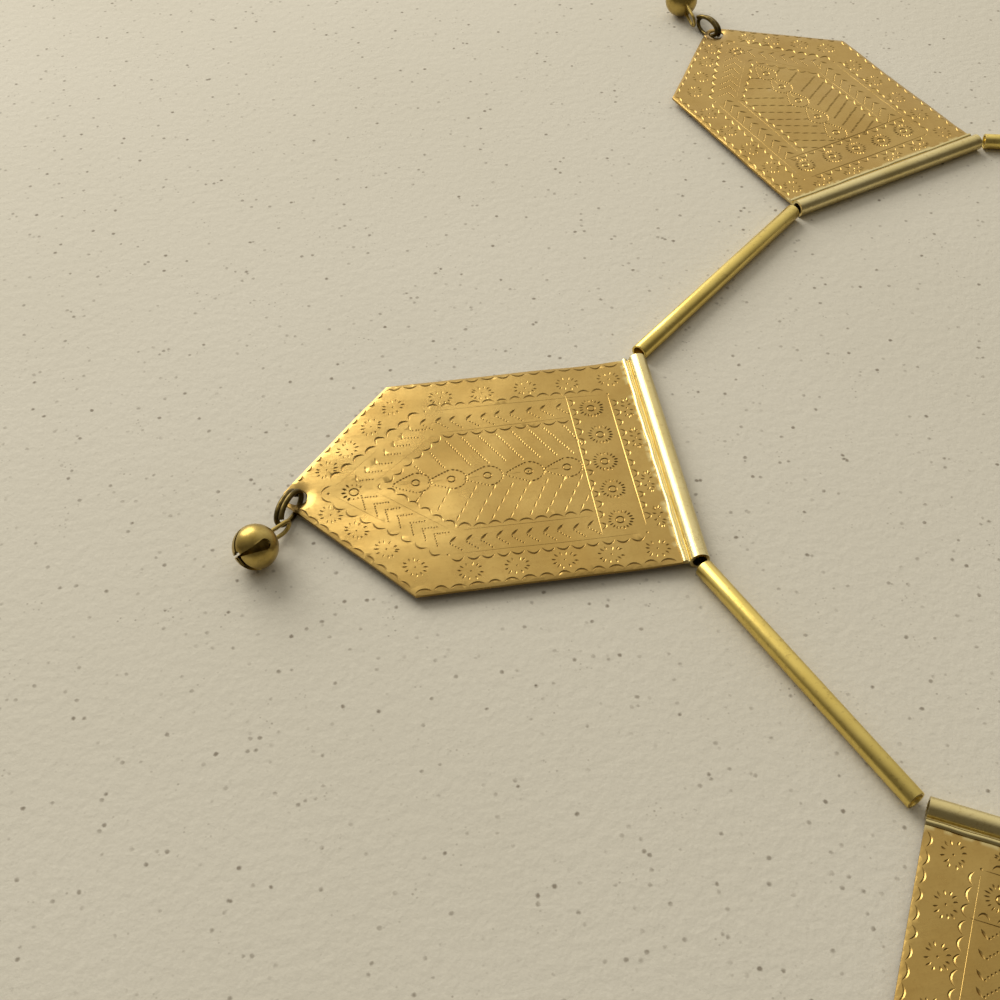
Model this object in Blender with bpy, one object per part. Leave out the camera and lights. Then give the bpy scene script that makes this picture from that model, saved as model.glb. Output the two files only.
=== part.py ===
"""Brass toran: a chain of engraved pentagonal plates for the head of a doorway.

Each plate is one piece of sheet whose straight edge is rolled forward into a barrel. Plain tubes
stand between the barrels, and a lapped wire ring in the tip of each plate carries a small jingle
bell. The chain lies on its back on a level surface, curled the way it was put down, with the
engraved faces up. X and Y are level, Z is up, and the middle plate's tip points along -X.
"""
import math

import bmesh
import bpy
from mathutils import Euler, Matrix, Vector
from mathutils.geometry import delaunay_2d_cdt

MM = 0.001

# Driving dimensions of a plate: X across it, Y from the barrel's axis towards the tip
SHEET = 0.6 * MM
PLATE_WIDTH = 60.0 * MM
SIDE_LENGTH = 57.9 * MM
POINT_RISE = 26.0 * MM
PLATE_LIFT = 1.8 * MM
EYE_DIAMETER = 4.4 * MM
EYE_RIM = 0.9 * MM
BARREL_DIAMETER = 4.2 * MM
LIP_REACH = 3.6 * MM
LIP_WIDTH = 1.2 * MM
LIP_HEIGHT = 0.55 * MM

# Engraving that shows from a step away, cut as V grooves in the face
GROOVE_DEPTH = 0.22 * MM
GROOVE_WIDTH = 0.55 * MM
BORDER_INSET = 1.7 * MM
FRAME_INSET = 7.4 * MM
FIELD_INSET = 14.2 * MM
ROSETTE_ROW = 12.9 * MM
ROSETTE_COUNT = 5
ROSETTE_DIAMETER = 5.4 * MM
ROSETTE_MARGIN = 3.5 * MM
RULE_GAP = 4.6 * MM
LEAF_COUNT = 5
LEAF_WIDTH = 4.6 * MM
LEAF_GAP = 1.1 * MM
LEAF_FOOT_MARGIN = 1.75 * MM
LEAF_POINT_MARGIN = 5.35 * MM

# Plain tubes between the barrels, in the order of the chain
TUBE_DIAMETER = 4.0 * MM
TUBE_WALL = 0.5 * MM
TUBE_LENGTHS = (66.0 * MM, 62.0 * MM, 68.0 * MM, 66.0 * MM)

# How the chain is laid: the clockwise turn at each joint, in degrees, and the gap there
JOINT_TURNS = (28.0, 20.0, 38.6, 23.1, 47.7, 22.0, 33.6, 20.0)
JOINT_GAP = 0.9 * MM
MIDDLE_HEADING = 90.0

# The lapped oval ring in the tip's eye; its heading is the way it reaches, in the plate's frame
RING_WIRE = 1.2 * MM
RING_HALF_LENGTH = 4.5 * MM
RING_HALF_HEIGHT = 2.2 * MM
RING_PITCH = 1.25 * MM
RING_TURNS = 1.5
RING_LAP_START = 20.0
RING_LEAN = 111.0
RING_OFFSET = 3.85 * MM
RING_HEADING = 148.9
SWINGS = (-40.0, -20.0, 0.0, -55.0, -30.0)

# The jingle bell: a thin ball, four slits that meet in its mouth, and a wire loop. An angle of a
# slit is that of its round end from the mouth.
BELL_DIAMETER = 9.6 * MM
BELL_WALL = 0.6 * MM
BELL_REACH = 17.2 * MM
SLIT_WIDTH = 0.55 * MM
SLIT_ANGLE = 70.0
WIDE_SLIT_WIDTH = 1.9 * MM
WIDE_SLIT_ANGLE = 65.0
KEYHOLE_WIDTH = 0.5 * MM
KEYHOLE_DIAMETER = 2.4 * MM
KEYHOLE_ANGLE = 84.0
MOUTH_DIAMETER = 2.2 * MM
MOUTH_TURN = -20.0
MOUTH_RAISE = 14.0
LOOP_WIRE = 0.9 * MM
LOOP_WIDTH = 3.6 * MM
LOOP_FOOT = 0.35 * MM
LOOP_ROLL = -99.0
LOOP_TURN = -13.0
LOOP_CLEARANCE = 0.3 * MM

# Fineness of the round shapes
BARREL_SIDES = 20
BORE_SIDES = 14
TUBE_SIDES = 16
EYE_SIDES = 16
RING_STEPS_PER_TURN = 16
BELL_SEGMENTS = 16
BELL_RINGS = 8

# Sizes that follow from those above
PLATE_TOP = PLATE_LIFT + SHEET
BARREL_RADIUS = BARREL_DIAMETER / 2
TIP_Y = SIDE_LENGTH + POINT_RISE
SLOPE = math.hypot(PLATE_WIDTH / 2, POINT_RISE)
EYE_OUTER = EYE_DIAMETER / 2 + EYE_RIM
EYE_Y = TIP_Y - EYE_OUTER * SLOPE / (PLATE_WIDTH / 2)
BELL_RADIUS = BELL_DIAMETER / 2


def clear_scene():
    for thing in list(bpy.data.objects):
        bpy.data.objects.remove(thing, do_unlink=True)


def metal(name, colour, roughness):
    """A metal with one colour, as a Principled BSDF."""
    material = bpy.data.materials.new(name)
    material.use_nodes = True
    shader = material.node_tree.nodes["Principled BSDF"]
    shader.inputs["Base Color"].default_value = (*colour, 1.0)
    shader.inputs["Roughness"].default_value = roughness
    shader.inputs["Metallic"].default_value = 1.0
    return material


def add_object(name, mesh, material, parent=None):
    thing = bpy.data.objects.new(name, mesh)
    bpy.context.scene.collection.objects.link(thing)
    if not mesh.materials:
        mesh.materials.append(material)
    thing.parent = parent
    return thing


def heading(degrees):
    angle = math.radians(degrees)
    return Vector((math.cos(angle), math.sin(angle), 0.0))


def circle(radius, sides, centre=(0.0, 0.0)):
    step = 2 * math.pi / sides
    return [(centre[0] + radius * math.cos(k * step), centre[1] + radius * math.sin(k * step))
            for k in range(sides)]


def inside(point, loop):
    """Whether a point of the plane lies inside a closed loop."""
    found = False
    for (ax, ay), (bx, by) in zip(loop, loop[1:] + loop[:1]):
        if (ay > point[1]) != (by > point[1]):
            if point[0] < ax + (point[1] - ay) * (bx - ax) / (by - ay):
                found = not found
    return found


def fill(loops, creases=()):
    """Triangles between an outer loop and the holes in it, with creases as further edges.

    A crease is a pair: its points, and whether it closes. Returns the points in the order given
    and the triangles, anticlockwise.
    """
    points = []
    edges = []
    for run, closed in [(loop, True) for loop in loops] + list(creases):
        first = len(points)
        points += [Vector(point) for point in run]
        edges += [(k, k + 1) for k in range(first, len(points) - 1)]
        if closed:
            edges.append((len(points) - 1, first))
    placed, _, faces, origins, _, _ = delaunay_2d_cdt(points, edges, [], 0, 1e-9)
    source = [origin[0] for origin in origins]
    triangles = []
    for face in faces:
        middle = sum((placed[k] for k in face), Vector((0.0, 0.0))) / 3
        if sum(inside(middle, loop) for loop in loops) % 2:
            triangles.append([source[k] for k in face])
    return points, triangles


def offset(loop, distance):
    """A closed anticlockwise loop moved inwards by a distance, with mitred corners."""
    moved = []
    for before, here, after in zip(loop[-1:] + loop[:-1], loop, loop[1:] + loop[:1]):
        one = (Vector(here) - Vector(before)).normalized()
        two = (Vector(after) - Vector(here)).normalized()
        normal = Vector((-one.y - two.y, one.x + two.x)).normalized()
        moved.append(tuple(Vector(here) + normal * (distance / normal.dot((-one.y, one.x)))))
    return moved


def plate_outline():
    """The plate's edge from the barrel side round the tip, anticlockwise."""
    half = PLATE_WIDTH / 2
    side_y = LIP_REACH
    first = math.atan2(half, POINT_RISE)
    steps = 6
    arc = [first + (math.pi - 2 * first) * k / steps for k in range(steps + 1)]
    tip = [(EYE_OUTER * math.cos(a), EYE_Y + EYE_OUTER * math.sin(a)) for a in arc]
    return [(-half, side_y), (half, side_y), (half, SIDE_LENGTH), *tip, (-half, SIDE_LENGTH)]


def pentagon(inset, foot):
    """The plate's pentagon set in by a distance, from the height foot, and cut off below the eye."""
    half = PLATE_WIDTH / 2 - inset
    top = TIP_Y - inset * SLOPE / (PLATE_WIDTH / 2)
    rise = POINT_RISE / (PLATE_WIDTH / 2)
    shoulder = top - half * rise
    limit = EYE_Y - EYE_DIAMETER / 2 - EYE_RIM - GROOVE_WIDTH
    tip = [(0.0, top)]
    if top > limit:
        tip = [((top - limit) / rise, limit), ((limit - top) / rise, limit)]
    return [(-half, foot), (half, foot), (half, shoulder), *tip, (-half, shoulder)]


def leaf(foot, length):
    """One pointed leaf of the chain down the middle; its point is towards the tip."""
    sides = 5
    centre_y = foot + LEAF_WIDTH / 2
    round_part = [(LEAF_WIDTH / 2 * math.cos(a), centre_y + LEAF_WIDTH / 2 * math.sin(a))
                  for a in (math.pi * (1 + k / sides) for k in range(sides + 1))]
    return round_part + [(0.0, foot + length)]


def carving():
    """The engraved grooves: closed loops first, then single strokes."""
    upper_rule = ROSETTE_ROW + RULE_GAP
    lower_rule = ROSETTE_ROW - RULE_GAP
    frame_foot = LIP_REACH + GROOVE_WIDTH * 2
    loops = [pentagon(BORDER_INSET, frame_foot)]
    loops.append(pentagon(FRAME_INSET, lower_rule))
    field = pentagon(FIELD_INSET, upper_rule + GROOVE_WIDTH * 2)
    loops.append(field)
    first = -(ROSETTE_COUNT - 1) / 2
    row = PLATE_WIDTH - 2 * (FRAME_INSET + ROSETTE_MARGIN) - ROSETTE_DIAMETER
    pitch = row / (ROSETTE_COUNT - 1)
    for k in range(ROSETTE_COUNT):
        loops.append(circle(ROSETTE_DIAMETER / 2, 8, ((first + k) * pitch, ROSETTE_ROW)))
    heights = [y for _, y in field]
    foot = min(heights) + LEAF_FOOT_MARGIN
    pitch = (max(heights) - LEAF_POINT_MARGIN + LEAF_GAP - foot) / LEAF_COUNT
    for k in range(LEAF_COUNT):
        loops.append(leaf(foot + k * pitch, pitch - LEAF_GAP))
    reach = PLATE_WIDTH / 2 - FRAME_INSET - GROOVE_WIDTH
    strokes = [((-reach, upper_rule), (reach, upper_rule))]
    return loops, strokes


def engraved_face():
    """The plate's front: points with their depth below the face, and triangles."""
    loops, strokes = carving()
    half = GROOVE_WIDTH / 2
    creases = []
    depths = []
    for loop in loops:
        for run, depth in ((offset(loop, -half), 0.0), (loop, GROOVE_DEPTH), (offset(loop, half), 0.0)):
            creases.append((run, True))
            depths += [depth] * len(run)
    for (ax, ay), (bx, by) in strokes:
        rim = [(ax, ay), (ax + half, ay - half), (bx - half, by - half),
               (bx, by), (bx - half, by + half), (ax + half, ay + half)]
        creases.append((rim, True))
        creases.append(([(ax + half, ay), (bx - half, by)], False))
        depths += [0.0] * len(rim) + [GROOVE_DEPTH] * 2
    outline = plate_outline()
    eye = circle(EYE_DIAMETER / 2, EYE_SIDES, (0.0, EYE_Y))
    points, triangles = fill([outline, eye], creases)
    depths = [0.0] * (len(outline) + len(eye)) + depths
    return points, depths, triangles, outline, eye


def rolled_edge():
    """The outer profile of the rolled edge in Y and Z, from the face round to the back."""
    lip_steps = 5
    lip_y = LIP_REACH - LIP_WIDTH / 2
    lip = [(lip_y + LIP_WIDTH / 2 * math.cos(math.pi * k / lip_steps),
            PLATE_TOP + LIP_HEIGHT * math.sin(math.pi * k / lip_steps)) for k in range(lip_steps + 1)]
    first = math.asin((PLATE_TOP - BARREL_RADIUS) / BARREL_RADIUS)
    last = 2 * math.pi + math.asin((PLATE_LIFT - BARREL_RADIUS) / BARREL_RADIUS)
    barrel = [(BARREL_RADIUS * math.cos(a), BARREL_RADIUS + BARREL_RADIUS * math.sin(a))
              for a in (first + (last - first) * k / BARREL_SIDES for k in range(BARREL_SIDES + 1))]
    return lip + barrel + [(LIP_REACH, PLATE_LIFT)]


def plate_mesh():
    """The whole plate as one closed body: engraved slab, rolled edge and bore."""
    bm = bmesh.new()
    half = PLATE_WIDTH / 2

    points, depths, triangles, outline, eye = engraved_face()
    face = [bm.verts.new((p.x, p.y, PLATE_TOP - depth)) for p, depth in zip(points, depths)]
    for triangle in triangles:
        bm.faces.new([face[k] for k in triangle])

    back_points, back_triangles = fill([outline, eye])
    back = [bm.verts.new((p.x, p.y, PLATE_LIFT)) for p in back_points]
    for triangle in back_triangles:
        bm.faces.new([back[k] for k in reversed(triangle)])
    count = len(outline)
    for k in range(1, count):
        after = (k + 1) % count
        bm.faces.new((face[after], face[k], back[k], back[after]))
    for k in range(len(eye)):
        here, after = count + k, count + (k + 1) % len(eye)
        bm.faces.new((face[here], face[after], back[after], back[here]))

    profile = rolled_edge()
    bore = circle(BARREL_RADIUS - SHEET, BORE_SIDES, (0.0, BARREL_RADIUS))
    rows = {}
    for side in (-half, half):
        rows[side] = [bm.verts.new((side, y, z)) for y, z in profile + bore]
        _, caps = fill([profile, bore])
        for triangle in caps:
            ordered = triangle if side > 0 else list(reversed(triangle))
            bm.faces.new([rows[side][k] for k in ordered])
    left, right = rows[-half], rows[half]
    turn = len(profile)
    for k in range(turn - 1):
        bm.faces.new((left[k], left[k + 1], right[k + 1], right[k]))
    for k in range(len(bore)):
        here, after = turn + k, turn + (k + 1) % len(bore)
        bm.faces.new((left[after], left[here], right[here], right[after]))

    bmesh.ops.remove_doubles(bm, verts=bm.verts, dist=0.001 * MM)
    bmesh.ops.recalc_face_normals(bm, faces=bm.faces)
    mesh = bpy.data.meshes.new("plate")
    bm.to_mesh(mesh)
    bm.free()
    return mesh


def tube_mesh(length):
    """A plain tube along X, open at both ends."""
    outer = circle(TUBE_DIAMETER / 2, TUBE_SIDES)
    inner = circle(TUBE_DIAMETER / 2 - TUBE_WALL, TUBE_SIDES)
    bm = bmesh.new()
    rings = [[bm.verts.new((x, y, z)) for y, z in loop]
             for x in (-length / 2, length / 2) for loop in (outer, inner)]
    start_outer, start_inner, end_outer, end_inner = rings
    for k in range(TUBE_SIDES):
        j = (k + 1) % TUBE_SIDES
        bm.faces.new((start_outer[k], start_outer[j], end_outer[j], end_outer[k]))
        bm.faces.new((start_inner[j], start_inner[k], end_inner[k], end_inner[j]))
        bm.faces.new((start_outer[j], start_outer[k], start_inner[k], start_inner[j]))
        bm.faces.new((end_outer[k], end_outer[j], end_inner[j], end_inner[k]))
    bmesh.ops.recalc_face_normals(bm, faces=bm.faces)
    mesh = bpy.data.meshes.new("tube")
    bm.to_mesh(mesh)
    bm.free()
    mesh.shade_smooth()
    mesh.set_sharp_from_angle(angle=math.radians(40))
    return mesh


def wire_curve(name, points, diameter):
    """A round wire with closed ends along a run of points."""
    curve = bpy.data.curves.new(name, "CURVE")
    curve.dimensions = "3D"
    curve.bevel_depth = diameter / 2
    curve.bevel_resolution = 1
    curve.use_fill_caps = True
    spline = curve.splines.new("POLY")
    spline.points.add(len(points) - 1)
    for place, point in zip(spline.points, points):
        place.co = (*point, 1.0)
    return bpy.data.objects.new(name, curve)


def evaluated_mesh(thing, name):
    """The mesh of an object with its curve or modifiers worked out."""
    graph = bpy.context.evaluated_depsgraph_get()
    mesh = bpy.data.meshes.new_from_object(thing.evaluated_get(graph))
    mesh.name = name
    return mesh


def ring_mesh():
    """The lapped ring standing on its edge: X is the way it reaches, and its top leans to -Y."""
    lean = math.radians(RING_LEAN)
    up = Vector((0.0, math.cos(lean), math.sin(lean)))
    out = Vector((1.0, 0.0, 0.0))
    axis = out.cross(up)
    steps = round(RING_STEPS_PER_TURN * RING_TURNS)
    points = []
    for k in range(steps + 1):
        angle = math.radians(RING_LAP_START) + 2 * math.pi * RING_TURNS * k / steps
        advance = RING_PITCH * (angle / (2 * math.pi) - 1.0)
        points.append(RING_HALF_LENGTH * math.cos(angle) * out
                      + RING_HALF_HEIGHT * math.sin(angle) * up + axis * advance)
    lowest = min(point.z for point in points) - RING_WIRE / 2
    wire = wire_curve("ring wire", [point - Vector((0.0, 0.0, lowest)) for point in points], RING_WIRE)
    bpy.context.scene.collection.objects.link(wire)
    mesh = evaluated_mesh(wire, "ring")
    bpy.data.objects.remove(wire)
    return mesh, -lowest


def cutter(name, mesh, place=None):
    thing = bpy.data.objects.new(name, mesh)
    bpy.context.scene.collection.objects.link(thing)
    thing.hide_render = True
    thing.display_type = "WIRE"
    if place is not None:
        thing.matrix_world = place
    return thing


def slit_mesh(width, end_width, end_angle):
    """A slit's cutter, from the middle of the ball outwards along X, widening to a round end."""
    end_z = BELL_RADIUS * math.cos(math.radians(end_angle))
    steps = 6
    end = [(end_width / 2 * math.cos(a), end_z + end_width / 2 * math.sin(a))
           for a in (math.pi * (1 + k / steps) for k in range(steps + 1))]
    start = [(width / 2, BELL_RADIUS), (width / 2, BELL_DIAMETER)]
    profile = [(-y, z) for y, z in reversed(start)] + end + start
    bm = bmesh.new()
    base = bm.faces.new([bm.verts.new((0.0, y, z)) for y, z in profile])
    run = bmesh.ops.extrude_face_region(bm, geom=[base])
    moved = [item for item in run["geom"] if isinstance(item, bmesh.types.BMVert)]
    bmesh.ops.translate(bm, verts=moved, vec=(BELL_DIAMETER, 0.0, 0.0))
    bmesh.ops.recalc_face_normals(bm, faces=bm.faces)
    mesh = bpy.data.meshes.new("slit")
    bm.to_mesh(mesh)
    bm.free()
    return mesh


def ball_mesh(name, radius):
    bm = bmesh.new()
    bmesh.ops.create_uvsphere(bm, u_segments=BELL_SEGMENTS, v_segments=BELL_RINGS, radius=radius)
    mesh = bpy.data.meshes.new(name)
    bm.to_mesh(mesh)
    bm.free()
    return mesh


def loop_points(ring_height):
    """The bell's wire loop: -X is the way back to the ring, which passes through its far end."""
    half = LOOP_WIDTH / 2
    ring_strand = RING_OFFSET + RING_HALF_LENGTH
    end_x = ring_strand - BELL_REACH - RING_WIRE / 2 - LOOP_CLEARANCE - LOOP_WIRE / 2
    foot_x = -math.sqrt((BELL_RADIUS - LOOP_FOOT) ** 2 - half ** 2)
    steps = 6
    bend = [(end_x + half - half * math.sin(a), half * math.cos(a))
            for a in (math.pi * k / steps for k in range(steps + 1))]
    flat = [(foot_x, half), *bend, (foot_x, -half)]
    drop = math.atan2(ring_height - BELL_RADIUS, BELL_REACH - ring_strand)
    turn = Matrix.Rotation(math.radians(LOOP_TURN), 4, "Z") @ Matrix.Rotation(drop, 4, "Y")
    turn = turn @ Matrix.Rotation(math.radians(LOOP_ROLL), 4, "X")
    return [turn @ Vector((x, y, 0.0)) for x, y in flat]


def bell_mesh(ring_height):
    """The ball with its slits, and its loop joined on; the centre of the ball is the origin."""
    ball = bpy.data.objects.new("bell ball", ball_mesh("ball", BELL_RADIUS))
    bpy.context.scene.collection.objects.link(ball)
    mouth = Euler((0.0, math.radians(90.0 - MOUTH_RAISE), math.radians(MOUTH_TURN))).to_matrix().to_4x4()
    bm = bmesh.new()
    bmesh.ops.create_cone(bm, cap_ends=True, segments=8, radius1=MOUTH_DIAMETER / 2,
                          radius2=MOUTH_DIAMETER / 2, depth=BELL_DIAMETER)
    bmesh.ops.translate(bm, verts=bm.verts, vec=(0.0, 0.0, BELL_DIAMETER / 2 + BELL_WALL))
    hole = bpy.data.meshes.new("mouth hole")
    bm.to_mesh(hole)
    bm.free()
    narrow = slit_mesh(SLIT_WIDTH, SLIT_WIDTH, SLIT_ANGLE)
    slits = [slit_mesh(WIDE_SLIT_WIDTH, WIDE_SLIT_WIDTH, WIDE_SLIT_ANGLE),
             slit_mesh(KEYHOLE_WIDTH, KEYHOLE_DIAMETER, KEYHOLE_ANGLE), narrow, narrow]
    ball.matrix_world = mouth
    cuts = [cutter("bell hollow", ball_mesh("hollow", BELL_RADIUS - BELL_WALL), mouth)]
    for k, slit in enumerate(slits):
        quarter = Matrix.Rotation(math.radians(45.0 + 90.0 * k), 4, "Z")
        cuts.append(cutter(f"bell slit {k + 1}", slit, mouth @ quarter))
    cuts.append(cutter("bell mouth", hole, mouth))
    for thing in cuts:
        step = ball.modifiers.new(thing.name, "BOOLEAN")
        step.operation = "DIFFERENCE"
        step.object = thing
    loop = wire_curve("bell loop", loop_points(ring_height), LOOP_WIRE)
    bpy.context.scene.collection.objects.link(loop)
    loop_cutter = cutter("bell loop solid", evaluated_mesh(loop, "loop"))
    step = ball.modifiers.new("loop", "BOOLEAN")
    step.operation = "UNION"
    step.object = loop_cutter
    bpy.context.view_layer.update()
    mesh = evaluated_mesh(ball, "bell")
    mesh.transform(mouth)
    for thing in [ball, loop, loop_cutter, *cuts]:
        bpy.data.objects.remove(thing)
    mesh.shade_smooth()
    mesh.set_sharp_from_angle(angle=math.radians(35))
    return mesh


def lay_chain():
    """The middle point and heading of every barrel and tube, in the order of the chain."""
    lengths = [PLATE_WIDTH]
    for tube in TUBE_LENGTHS:
        lengths += [tube, PLATE_WIDTH]
    way = MIDDLE_HEADING + sum(JOINT_TURNS[:len(JOINT_TURNS) // 2])
    place = Vector((0.0, 0.0, 0.0))
    places = [(place.copy(), way)]
    place += heading(way) * lengths[0] / 2
    for length, turn in zip(lengths[1:], JOINT_TURNS):
        setback = BARREL_RADIUS * math.tan(math.radians(turn) / 2) + JOINT_GAP / 2
        place += heading(way) * setback
        way -= turn
        place += heading(way) * (setback + length / 2)
        places.append((place.copy(), way))
        place += heading(way) * length / 2
    return places


def centre_on_origin(root):
    """Moves the whole chain so that the middle of its box stands over the origin."""
    bpy.context.view_layer.update()
    corners = [thing.matrix_world @ vertex.co for thing in bpy.data.objects if thing.type == "MESH"
               for vertex in thing.data.vertices]
    for axis in (0, 1):
        values = [corner[axis] for corner in corners]
        root.location[axis] -= (min(values) + max(values)) / 2
    bpy.context.view_layer.update()


def empty(name, parent=None):
    thing = bpy.data.objects.new(name, None)
    bpy.context.scene.collection.objects.link(thing)
    thing.parent = parent
    return thing


def build():
    clear_scene()
    plate_brass = metal("engraved brass", (0.52, 0.36, 0.13), 0.32)
    tube_brass = metal("plain brass", (0.50, 0.38, 0.16), 0.28)
    ring_brass = metal("darkened brass", (0.11, 0.08, 0.03), 0.42)
    bell_brass = metal("bell brass", (0.42, 0.31, 0.12), 0.38)

    plate = plate_mesh()
    ring, ring_height = ring_mesh()
    bell = bell_mesh(ring_height)
    root = empty("toran")
    places = lay_chain()
    for k, (place, way) in enumerate(places[0::2]):
        station = empty(f"station {k + 1}", root)
        station.location = place
        station.rotation_euler.z = math.radians(way)
        add_object(f"plate_{k + 1}", plate, plate_brass, station)

        reach = RING_HEADING + SWINGS[k]
        eye = Vector((0.0, EYE_Y, 0.0))
        hung_ring = add_object(f"ring_{k + 1}", ring, ring_brass, station)
        hung_ring.location = eye + heading(reach) * RING_OFFSET
        hung_ring.rotation_euler.z = math.radians(reach)
        hung_bell = add_object(f"bell_{k + 1}", bell, bell_brass, station)
        hung_bell.location = eye + heading(reach) * BELL_REACH + Vector((0.0, 0.0, BELL_RADIUS))
        hung_bell.rotation_euler.z = math.radians(reach)
    for k, (place, way) in enumerate(places[1::2]):
        tube = add_object(f"tube_{k + 1}", tube_mesh(TUBE_LENGTHS[k]), tube_brass, root)
        tube.location = place + Vector((0.0, 0.0, TUBE_DIAMETER / 2))
        tube.rotation_euler.z = math.radians(way)
    centre_on_origin(root)


build()
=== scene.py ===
"""A brass toran lying on pale plaster: engraved plates, plain tubes, wire rings and jingle bells."""
import math

import bmesh
import bpy
import numpy as np
from mathutils import Matrix, Vector
from mathutils.geometry import delaunay_2d_cdt


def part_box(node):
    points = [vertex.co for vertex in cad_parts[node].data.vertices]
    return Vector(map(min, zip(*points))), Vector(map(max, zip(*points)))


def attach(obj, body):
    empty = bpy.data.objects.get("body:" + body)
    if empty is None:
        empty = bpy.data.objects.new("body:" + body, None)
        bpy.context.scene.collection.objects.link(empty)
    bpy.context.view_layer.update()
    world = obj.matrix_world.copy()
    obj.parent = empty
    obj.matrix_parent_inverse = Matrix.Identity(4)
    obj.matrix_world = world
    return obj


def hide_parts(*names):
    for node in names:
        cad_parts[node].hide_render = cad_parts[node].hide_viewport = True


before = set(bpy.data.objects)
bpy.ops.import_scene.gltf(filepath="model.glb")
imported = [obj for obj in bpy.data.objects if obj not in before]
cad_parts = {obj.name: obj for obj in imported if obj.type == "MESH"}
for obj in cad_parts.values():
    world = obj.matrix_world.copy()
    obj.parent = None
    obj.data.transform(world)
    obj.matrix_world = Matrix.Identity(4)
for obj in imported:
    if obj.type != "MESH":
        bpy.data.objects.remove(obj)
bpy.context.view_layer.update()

# The picture's view, in millimetres and degrees. The camera looks down at the middle plate from
# the side that its bell lies on, about two hands' lengths away, with the plate's tip to the left.
MM = 0.001
BARREL_RADIUS = 2.1
PLATE_TOP = 2.4
CAMERA_DISTANCE = 294.4
CAMERA_ELEVATION = 48.86
CAMERA_ROLL = 0.40
LENS = 50.41
VIEW_TURN = 8.3
AIM_ACROSS, AIM_ALONG = 36.10, 13.16

low, high = (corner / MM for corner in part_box("plate_3"))
middle = Vector((high.x - BARREL_RADIUS, (low.y + high.y) / 2, 0.0))
turn = Matrix.Rotation(math.radians(-VIEW_TURN), 4, "Z")
aim = middle - turn @ Vector((AIM_ACROSS, AIM_ALONG, 0.0)) + Vector((0.0, 0.0, PLATE_TOP))
camera_data = bpy.data.cameras.new("camera")
camera_data.lens = LENS
camera_data.clip_start, camera_data.clip_end = 0.01, 10.0
camera = bpy.data.objects.new("camera", camera_data)
bpy.context.collection.objects.link(camera)
tilt = Matrix.Rotation(math.radians(90.0 - CAMERA_ELEVATION), 4, "X")
roll = Matrix.Rotation(math.radians(-CAMERA_ROLL), 4, "Z")
stand = turn @ tilt @ Matrix.Translation((0.0, 0.0, CAMERA_DISTANCE)) @ roll
stand.translation += aim
stand.translation *= MM
camera.matrix_world = stand
bpy.context.scene.camera = camera


# The surface it lies on: pale plaster, trowelled flat, with small dark pits. The two classes
# write this finish and every other one: a value that varies over a surface can be added to and
# multiplied, and a finish makes its nodes one call at a time.
FLOOR_SIZE = 6.0


class Value:
    """A number or colour that varies over a surface; arithmetic on it adds Math nodes."""

    def __init__(self, finish, socket):
        self.finish, self.socket = finish, socket

    def joined(self, operation, *others):
        return self.finish.node("ShaderNodeMath", {"operation": operation}, dict(enumerate(others)))

    def __add__(self, other):
        return self.joined("ADD", self, other)

    def __sub__(self, other):
        return self.joined("SUBTRACT", self, other)

    def __rsub__(self, other):
        return self.joined("SUBTRACT", other, self)

    def __mul__(self, other):
        return self.joined("MULTIPLY", self, other)

    __radd__, __rmul__ = __add__, __mul__

    def clamped(self, start=0.0, end=1.0):
        """Goes from 0 at start to 1 at end, and stays there."""
        return self.finish.node("ShaderNodeMapRange", {"clamp": True},
                                {"Value": self, "From Min": start, "From Max": end})


class Finish:
    """A material whose nodes are made one call at a time."""

    def __init__(self, name):
        self.material = bpy.data.materials.new(name)
        self.material.use_nodes = True
        self.tree = self.material.node_tree
        self.shader = self.tree.nodes["Principled BSDF"]
        self.place = self.node("ShaderNodeTexCoord", {}, {}, "Object")

    def node(self, kind, settings, sockets, output=0):
        node = self.tree.nodes.new(kind)
        for key, setting in settings.items():
            setattr(node, key, setting)
        for key, value in sockets.items():
            self.feed(node.inputs[key], value)
        return Value(self, node.outputs[output])

    def feed(self, socket, value):
        if isinstance(value, Value):
            self.tree.links.new(value.socket, socket)
        elif socket.type == "RGBA" and len(value) == 3:
            socket.default_value = (*value, 1.0)
        else:
            socket.default_value = value

    def noise(self, scale, detail=3.0, roughness=0.5, where=None):
        sockets = {"Vector": where or self.place, "Scale": scale, "Detail": detail, "Roughness": roughness}
        return self.node("ShaderNodeTexNoise", {}, sockets, "Fac")

    def pits(self, scale):
        """The distance to the nearest of many scattered points, in cells."""
        return self.node("ShaderNodeTexVoronoi", {}, {"Vector": self.place, "Scale": scale}, "Distance")

    def stretched(self, turned, scale):
        return self.node("ShaderNodeMapping", {"vector_type": "POINT"},
                         {"Vector": self.place, "Rotation": turned, "Scale": scale})

    def mixed(self, share, one, two):
        """A blend of two colours; a Mix node has them at 6 and 7 and its own colour at 2."""
        return self.node("ShaderNodeMix", {"data_type": "RGBA"}, {0: share, 6: one, 7: two}, 2)

    def bump(self, height, distance, strength=1.0):
        return self.node("ShaderNodeBump", {}, {"Height": height, "Distance": distance,
                                                "Strength": strength}, "Normal")

    def surface(self, **sockets):
        for name, value in sockets.items():
            self.feed(self.shader.inputs[name.replace("_", " ")], value)


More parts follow.
